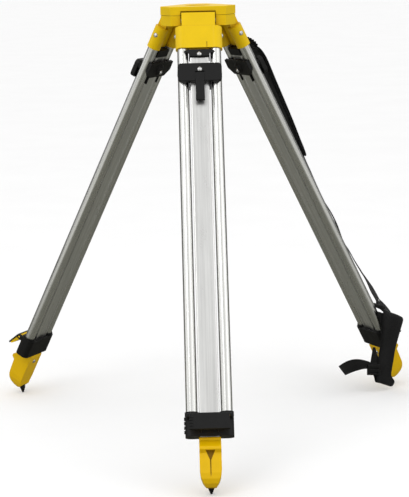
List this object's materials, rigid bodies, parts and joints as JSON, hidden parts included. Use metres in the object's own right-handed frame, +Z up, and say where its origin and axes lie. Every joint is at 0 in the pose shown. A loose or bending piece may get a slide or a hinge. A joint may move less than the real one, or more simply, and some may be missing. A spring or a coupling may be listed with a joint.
{
  "type": "surveying tripod",
  "caption": "Aluminium construction tripod with a flat triangular head, clamped telescopic twin-tube legs, spiked feet, a central fixing screw and a carrying strap.",
  "frame": {"origin": "centre of the head's flat top face, on the axis of the central hole", "axes": "+Z up out of the head; the front leg points along -Y; +X to the right seen from the front"},
  "size_m": [1.0232, 0.9033, 1.0002],
  "materials": {
    "yellow_casting": "die cast, satin yellow powder coat",
    "yellow_shoe": "moulded, glass filled",
    "yellow_plastic": "moulded",
    "aluminium_tube": "satin anodised",
    "aluminium_rail": "satin anodised",
    "zinc_steel": "zinc plated",
    "brass_bush": "turned",
    "brass_screw": "turned",
    "bright_screws": "polished",
    "black_steel": "blackened",
    "black_webbing": "woven",
    "pad_fabric": "woven over foam",
    "black_knob": "moulded",
    "black_rubber": "moulded",
    "black_plastic": "moulded, fine texture"
  },
  "bodies": {
    "head": {"head_plate": "yellow_casting", "head_base": "yellow_casting", "head_screws": "zinc_steel", "hinge_pins": "zinc_steel", "arm_pivot_bolt": "zinc_steel"},
    "swing_arm": {"screw_arm": "zinc_steel"},
    "bush": {"screw_bush": "brass_bush"},
    "ring": {"retaining_ring": "zinc_steel"},
    "screw": {"fixing_screw": "brass_screw", "fixing_knob": "black_knob"},
    "front_leg": {"front_hinge_bracket": "yellow_casting", "front_bracket_screws": "bright_screws", "front_outer_tubes": "aluminium_tube", "front_clamp_yoke": "black_plastic", "front_clamp_shoe": "black_rubber"},
    "front_inner_leg": {"front_inner_rail": "aluminium_rail", "front_top_plug": "black_plastic", "front_guide_collar": "black_plastic", "front_collar_backplate": "black_plastic", "front_leg_screws": "bright_screws", "front_foot_shoe": "yellow_shoe", "front_foot_spike": "black_steel"},
    "front_lever": {"front_clamp_cam": "yellow_plastic", "front_clamp_lever": "black_plastic"},
    "front_latch": {"front_latch_tongue": "black_plastic"},
    "right_leg": {"right_hinge_bracket": "yellow_casting", "right_bracket_screws": "bright_screws", "right_outer_tubes": "aluminium_tube", "right_clamp_yoke": "black_plastic", "right_clamp_shoe": "black_rubber", "shoulder_pad": "pad_fabric", "strap_keeper": "black_plastic", "strap_webbing": "black_webbing"},
    "right_inner_leg": {"right_inner_rail": "aluminium_rail", "right_top_plug": "black_plastic", "right_guide_collar": "black_plastic", "right_collar_backplate": "black_plastic", "right_leg_screws": "bright_screws", "right_foot_shoe": "yellow_shoe", "right_foot_spike": "black_steel"},
    "right_lever": {"right_clamp_cam": "yellow_plastic", "right_clamp_lever": "black_plastic"},
    "right_latch": {"right_latch_tongue": "black_plastic"},
    "left_leg": {"left_hinge_bracket": "yellow_casting", "left_bracket_screws": "bright_screws", "left_outer_tubes": "aluminium_tube", "left_clamp_yoke": "black_plastic", "left_clamp_shoe": "black_rubber"},
    "left_inner_leg": {"left_inner_rail": "aluminium_rail", "left_top_plug": "black_plastic", "left_guide_collar": "black_plastic", "left_collar_backplate": "black_plastic", "left_leg_screws": "bright_screws", "left_foot_shoe": "yellow_shoe", "left_foot_spike": "black_steel"},
    "left_lever": {"left_clamp_cam": "yellow_plastic", "left_clamp_lever": "black_plastic"},
    "left_latch": {"left_latch_tongue": "black_plastic"},
    "strap_tie": {"tie_webbing": "black_webbing", "strap_buckle": "black_plastic"}
  },
  "joints": [
    {"name": "arm_swing", "type": "hinge", "parent": "head", "child": "swing_arm", "pos_m": [0, 0.052, -0.047], "axis": [0, 0, 1], "range_deg": [-15, 15]},
    {"name": "bush_slide", "type": "slide", "parent": "swing_arm", "child": "bush", "axis": [0, 1, 0], "range_m": [-0.014, 0.014]},
    {"name": "screw_lift", "type": "slide", "parent": "bush", "child": "ring", "axis": [0, 0, 1], "range_m": [0, 0.037]},
    {"name": "screw_turn", "type": "hinge", "parent": "ring", "child": "screw", "pos_m": [0, 0, -0.093], "axis": [0, 0, 1], "continuous": true},
    {"name": "front_leg_fold", "type": "hinge", "parent": "head", "child": "front_leg", "pos_m": [0, -0.053, -0.032], "axis": [1, 0, 0], "range_deg": [0, 28]},
    {"name": "front_leg_extend", "type": "slide", "parent": "front_leg", "child": "front_inner_leg", "axis": [0, -0.4695, -0.8829], "range_m": [0, 0.62]},
    {"name": "front_lever_flip", "type": "hinge", "parent": "front_leg", "child": "front_lever", "pos_m": [0, -0.52159, -0.83722], "axis": [-1, 0, 0], "range_deg": [-29, 45]},
    {"name": "front_latch_press", "type": "hinge", "parent": "front_inner_leg", "child": "front_latch", "pos_m": [0, -0.15058, -0.14543], "axis": [-1, 0, 0], "range_deg": [-4, 25], "stiffness_Nm_per_rad": 0.4},
    {"name": "right_leg_fold", "type": "hinge", "parent": "head", "child": "right_leg", "pos_m": [0.0459, 0.0265, -0.032], "axis": [-0.5, 0.866, 0], "range_deg": [0, 28]},
    {"name": "right_leg_extend", "type": "slide", "parent": "right_leg", "child": "right_inner_leg", "axis": [0.4066, 0.2347, -0.8829], "range_m": [0, 0.62]},
    {"name": "right_lever_flip", "type": "hinge", "parent": "right_leg", "child": "right_lever", "pos_m": [0.45171, 0.26079, -0.83722], "axis": [0.5, -0.866, 0], "range_deg": [-29, 45]},
    {"name": "right_latch_press", "type": "hinge", "parent": "right_inner_leg", "child": "right_latch", "pos_m": [0.13041, 0.07529, -0.14543], "axis": [0.5, -0.866, 0], "range_deg": [-4, 25], "stiffness_Nm_per_rad": 0.4},
    {"name": "left_leg_fold", "type": "hinge", "parent": "head", "child": "left_leg", "pos_m": [-0.0459, 0.0265, -0.032], "axis": [-0.5, -0.866, 0], "range_deg": [0, 28]},
    {"name": "left_leg_extend", "type": "slide", "parent": "left_leg", "child": "left_inner_leg", "axis": [-0.4066, 0.2347, -0.8829], "range_m": [0, 0.62]},
    {"name": "left_lever_flip", "type": "hinge", "parent": "left_leg", "child": "left_lever", "pos_m": [-0.45171, 0.26079, -0.83722], "axis": [0.5, 0.866, 0], "range_deg": [-29, 45]},
    {"name": "left_latch_press", "type": "hinge", "parent": "left_inner_leg", "child": "left_latch", "pos_m": [-0.13041, 0.07529, -0.14543], "axis": [0.5, 0.866, 0], "range_deg": [-4, 25], "stiffness_Nm_per_rad": 0.4},
    {"name": "tie_swing", "type": "hinge", "parent": "right_leg", "child": "strap_tie", "pos_m": [0.42139, 0.24329, -0.77883], "axis": [0.5, -0.866, 0], "range_deg": [-10, 70]}
  ]
}
